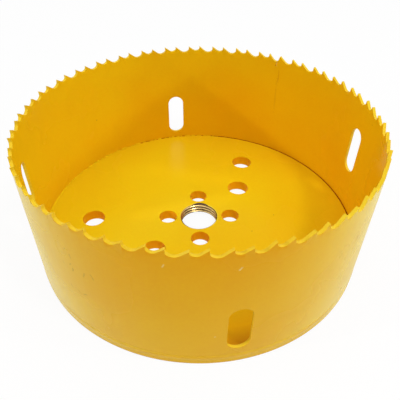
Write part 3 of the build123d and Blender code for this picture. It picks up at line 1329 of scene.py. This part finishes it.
def make_floor(stage):
    """The pale floor that keeps the saw's shadow."""
    half = stage.floor / 2
    corners = [(x * half, y * half, -FLOOR_GAP) for x, y in ((-1, -1), (1, -1), (1, 1), (-1, 1))]
    floor = mesh_object("floor", corners, [[0, 1, 2, 3]])
    material, place = new_material("pale floor")
    lit = out("ShaderNodeBsdfDiffuse", {"Color": (0.9, 0.9, 0.9, 1.0)}, tree=place.tree)
    add("ShaderNodeOutputMaterial", seen_white(lit, "ShaderNodeEmission", stage.shadow))
    floor.data.materials.append(material)


def make_surround(stage):
    """A white world: plain light, and white behind the floor."""
    world = bpy.data.worlds.new("surround")
    world.use_nodes = True
    world.node_tree.nodes.clear()
    plain_light = {"Color": WHITE, "Strength": stage.sky}
    lit = out("ShaderNodeBackground", plain_light, tree=world.node_tree)
    add("ShaderNodeOutputWorld", seen_white(lit, "ShaderNodeBackground"))
    bpy.context.scene.world = world


def make_lamp(name, place, width, watts):
    """A square soft lamp that faces the saw."""
    data = bpy.data.lights.new(name, "AREA")
    data.size = width
    data.energy = watts
    lamp = new_object(name, data)
    lamp.location = place
    lamp.rotation_euler = (-Vector(place)).to_track_quat("-Z", "Y").to_euler()


def make_camera(stage):
    """The camera at the photograph's viewing angle."""
    data = bpy.data.cameras.new("camera")
    data.sensor_width = 36.0
    data.lens = stage.lens / MM
    data.clip_start = 5 * MM
    level_part = cos(stage.pitch)
    ahead = Vector((
        sin(stage.heading) * level_part,
        cos(stage.heading) * level_part,
        -sin(stage.pitch),
    ))
    level = ahead.cross(Vector((0, 0, 1))).normalized()
    upright = level.cross(ahead)
    right = cos(stage.roll) * level + sin(stage.roll) * upright
    above = -sin(stage.roll) * level + cos(stage.roll) * upright
    camera = new_object("camera", data)
    turned = Matrix((right, above, -ahead)).transposed().to_4x4()
    camera.matrix_world = Matrix.Translation(stage.stand) @ turned
    bpy.context.scene.camera = camera


# Operators


def declare(piece, slot, *nodes):
    """Says what a finished piece rides on and stands for. The slot it is given is not used."""
    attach(piece, "root")
    if nodes:
        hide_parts(*nodes)


class HOLESAW_OT_stage(bpy.types.Operator):
    """Sets up the floor, the surround, the lamps and the camera"""

    bl_idname = "holesaw.stage"
    bl_label = "Stage"

    def execute(self, context):
        stage = context.scene.saw_stage
        context.scene.view_settings.view_transform = "Standard"
        make_floor(stage)
        make_surround(stage)
        for name, place, width in LAMPS:
            make_lamp(f"{name} lamp", place, width, getattr(stage, name))
        make_camera(stage)
        return {"FINISHED"}


class HOLESAW_OT_ring(bpy.types.Operator):
    """Makes the toothed ring with its slots and weld"""

    bl_idname = "holesaw.ring"
    bl_label = "Toothed ring"

    def execute(self, context):
        scene = context.scene
        coat = enamel("ring enamel", scene.saw_finish, ring_colour, marks=MARKS)
        ring = make_ring(scene.saw_ring, scene.saw_slots, coat)
        declare(ring, "ring_enamel", "saw_ring")
        return {"FINISHED"}


class HOLESAW_OT_plate(bpy.types.Operator):
    """Makes the back plate and drills its holes"""

    bl_idname = "holesaw.plate"
    bl_label = "Back plate"

    def execute(self, context):
        scene = context.scene
        coat = enamel("plate enamel", scene.saw_finish, plate_colour, drift=22.0)
        plate = make_plate(scene.saw_ring, scene.saw_plate, coat)
        declare(plate, "plate_enamel", "back_plate")
        return {"FINISHED"}


class HOLESAW_OT_thread(bpy.types.Operator):
    """Cuts the arbor thread into the bore"""

    bl_idname = "holesaw.thread"
    bl_label = "Arbor thread"

    def execute(self, context):
        scene = context.scene
        thread = make_thread(scene.saw_plate, scene.saw_thread, thread_steel(scene.saw_finish))
        declare(thread, "thread_steel")
        return {"FINISHED"}


class HOLESAW_OT_welds(bpy.types.Operator):
    """Lays the weld bead and the enamel in the plate's corner"""

    bl_idname = "holesaw.welds"
    bl_label = "Weld bead and corner enamel"

    def execute(self, context):
        scene = context.scene
        coat = enamel("bead enamel", scene.saw_finish, bead_colour, drift=45.0)
        bead = make_bead(scene.saw_ring, scene.saw_weld, coat)
        declare(bead, "bead_enamel", "weld_bead")
        coat = enamel("corner enamel", scene.saw_finish, corner_colour, drift=45.0)
        fillet = make_fillet(scene.saw_ring, scene.saw_plate, scene.saw_weld, coat)
        declare(fillet, "plate_enamel")
        return {"FINISHED"}


class HOLESAW_PT_sidebar(bpy.types.Panel):
    """Lists the pieces of the saw"""

    bl_idname = "HOLESAW_PT_sidebar"
    bl_label = "Hole saw"
    bl_space_type = "VIEW_3D"
    bl_region_type = "UI"
    bl_category = "Hole saw"

    def draw(self, context):
        for operator in OPERATORS:
            self.layout.operator(operator.bl_idname)


SETTINGS = {
    "saw_ring": RingSizes,
    "saw_slots": SlotSizes,
    "saw_plate": PlateSizes,
    "saw_thread": ThreadSizes,
    "saw_weld": WeldSizes,
    "saw_finish": Finish,
    "saw_stage": StageSettings,
}
OPERATORS = (
    HOLESAW_OT_stage,
    HOLESAW_OT_ring,
    HOLESAW_OT_plate,
    HOLESAW_OT_thread,
    HOLESAW_OT_welds,
)


def register():
    for name, group in SETTINGS.items():
        bpy.utils.register_class(group)
        setattr(bpy.types.Scene, name, bpy.props.PointerProperty(type=group))
    for operator in OPERATORS:
        bpy.utils.register_class(operator)
    bpy.utils.register_class(HOLESAW_PT_sidebar)


def unregister():
    bpy.utils.unregister_class(HOLESAW_PT_sidebar)
    for operator in reversed(OPERATORS):
        bpy.utils.unregister_class(operator)
    for name, group in SETTINGS.items():
        delattr(bpy.types.Scene, name)
        bpy.utils.unregister_class(group)


def main():
    """Registers the add-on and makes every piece."""
    register()
    bpy.ops.holesaw.stage()
    bpy.ops.holesaw.ring()
    bpy.ops.holesaw.plate()
    bpy.ops.holesaw.thread()
    bpy.ops.holesaw.welds()


if __name__ == "__main__":
    main()
